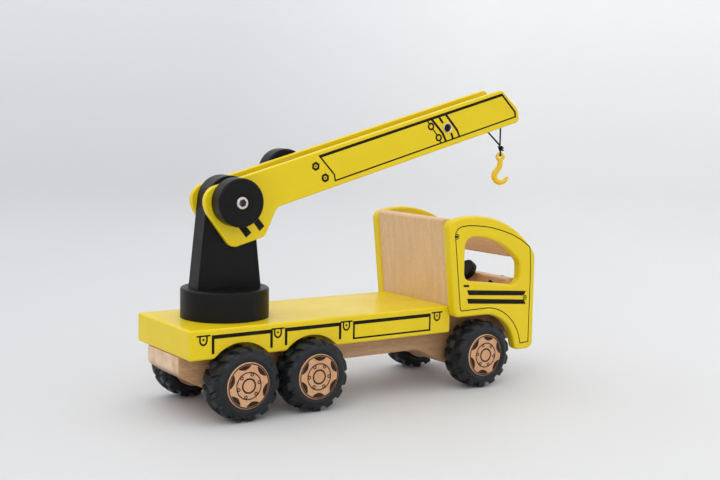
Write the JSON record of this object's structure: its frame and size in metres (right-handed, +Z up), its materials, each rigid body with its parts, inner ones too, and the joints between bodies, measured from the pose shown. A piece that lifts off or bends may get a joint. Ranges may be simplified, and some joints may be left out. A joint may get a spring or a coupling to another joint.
{
  "type": "toy crane truck",
  "caption": "Wooden toy crane truck: flatbed with a slewing tower, a boom that lifts, a hand winch with cord and hook, and a cab with open windows.",
  "frame": {"origin": "on the ground, under the middle of the outline of the truck with its boom", "axes": "+X to the front of the truck, +Y to its left, +Z up"},
  "size_m": [0.3466, 0.1224, 0.2656],
  "materials": {
    "yellow_paint": "satin yellow paint on wood",
    "black_paint": "satin black stain on wood",
    "bare_wood": "clear-lacquered pale hardwood",
    "hub_wood": "clear-lacquered hardwood with burnt-in lines",
    "tyre_rubber": "matt black rubber",
    "steel": "nickel-plated steel",
    "cord": "black braided cord",
    "hook_plastic": "orange-yellow moulded plastic"
  },
  "bodies": {
    "truck": {"chassis": "bare_wood", "bed": "yellow_paint", "bed_screws": "steel", "cab_block": "bare_wood", "cab_floor": "bare_wood", "cab_side_right": "yellow_paint", "cab_side_left": "yellow_paint", "cab_back_panel": "bare_wood", "front_panel": "bare_wood", "windscreen_header": "bare_wood", "cab_dowels": "bare_wood", "headlight_right": "black_paint", "headlight_left": "black_paint"},
    "steering": {"steering_wheel": "black_paint", "steering_column": "bare_wood"},
    "crane": {"turntable": "black_paint", "tower": "black_paint", "tower_dowels": "bare_wood", "king_pin": "bare_wood", "king_washer": "steel", "king_screw": "steel"},
    "boom": {"boom_plate_right": "yellow_paint", "boom_plate_left": "yellow_paint", "boom_spacer": "bare_wood", "boom_screws": "steel", "guide_pin": "steel", "nose_pin": "steel", "pivot_bolt": "steel", "pivot_nut": "steel", "cord_front_run": "cord", "cord_rear_run": "cord"},
    "boom_knob": {"pivot_knob": "black_paint"},
    "winch": {"winch_axle": "bare_wood", "winch_spool": "bare_wood", "winch_bush": "black_paint", "winch_knob": "black_paint", "cord_winding": "cord"},
    "cord_falls": {"nose_roller": "bare_wood", "cord_front_fall": "cord", "cord_rear_fall": "cord"},
    "hook": {"cord_knot": "cord", "cord_loop": "cord", "hook": "hook_plastic"},
    "wheels_rear": {"axle_rear": "bare_wood", "hub_rear_right": "hub_wood", "hub_rear_left": "hub_wood", "tyre_rear_right": "tyre_rubber", "tyre_rear_left": "tyre_rubber"},
    "wheels_middle": {"axle_middle": "bare_wood", "hub_middle_right": "hub_wood", "hub_middle_left": "hub_wood", "tyre_middle_right": "tyre_rubber", "tyre_middle_left": "tyre_rubber"},
    "wheels_front": {"axle_front": "bare_wood", "hub_front_right": "hub_wood", "hub_front_left": "hub_wood", "tyre_front_right": "tyre_rubber", "tyre_front_left": "tyre_rubber"}
  },
  "joints": [
    {"name": "crane_slew", "type": "hinge", "parent": "truck", "child": "crane", "pos_m": [-0.11761, 0, 0.0755], "axis": [0, 0, 1], "continuous": true},
    {"name": "boom_luff", "type": "hinge", "parent": "crane", "child": "boom", "pos_m": [-0.11761, 0, 0.1714], "axis": [-0.0454, -0.999, 0], "range_deg": [-12, 60]},
    {"name": "boom_knob_turn", "type": "hinge", "parent": "boom", "child": "boom_knob", "pos_m": [-0.11761, 0, 0.1714], "axis": [0.0454, 0.999, 0], "range_deg": [-180, 180]},
    {"name": "winch_turn", "type": "hinge", "parent": "boom", "child": "winch", "pos_m": [-0.05142, -0.00301, 0.19248], "axis": [0.0454, 0.999, 0], "range_deg": [-60, 900]},
    {"name": "cord_swing", "type": "hinge", "parent": "boom", "child": "cord_falls", "pos_m": [0.16005, -0.01261, 0.24694], "axis": [-0.0454, -0.999, 0], "range_deg": [-61, 13]},
    {"name": "hook_hoist", "type": "slide", "parent": "cord_falls", "child": "hook", "axis": [0, 0, 1], "range_m": [-0.1471, 0.0102], "deforming": ["cord_front_fall", "cord_rear_fall"]},
    {"name": "steering_turn", "type": "hinge", "parent": "truck", "child": "steering", "pos_m": [0.13769, 0, 0.098], "axis": [0.8192, 0, -0.5736], "continuous": true},
    {"name": "wheels_rear_roll", "type": "hinge", "parent": "truck", "child": "wheels_rear", "pos_m": [-0.12781, 0, 0.03], "axis": [0, 1, 0], "continuous": true},
    {"name": "wheels_middle_roll", "type": "hinge", "parent": "truck", "child": "wheels_middle", "pos_m": [-0.06291, 0, 0.03], "axis": [0, 1, 0], "continuous": true},
    {"name": "wheels_front_roll", "type": "hinge", "parent": "truck", "child": "wheels_front", "pos_m": [0.11229, 0, 0.03], "axis": [0, 1, 0], "continuous": true}
  ],
  "couplings": [
    {"joint": "cord_swing", "follows": "boom_luff", "ratio": -1},
    {"joint": "hook_hoist", "follows": "winch_turn", "m_per_rad": -0.0093}
  ]
}
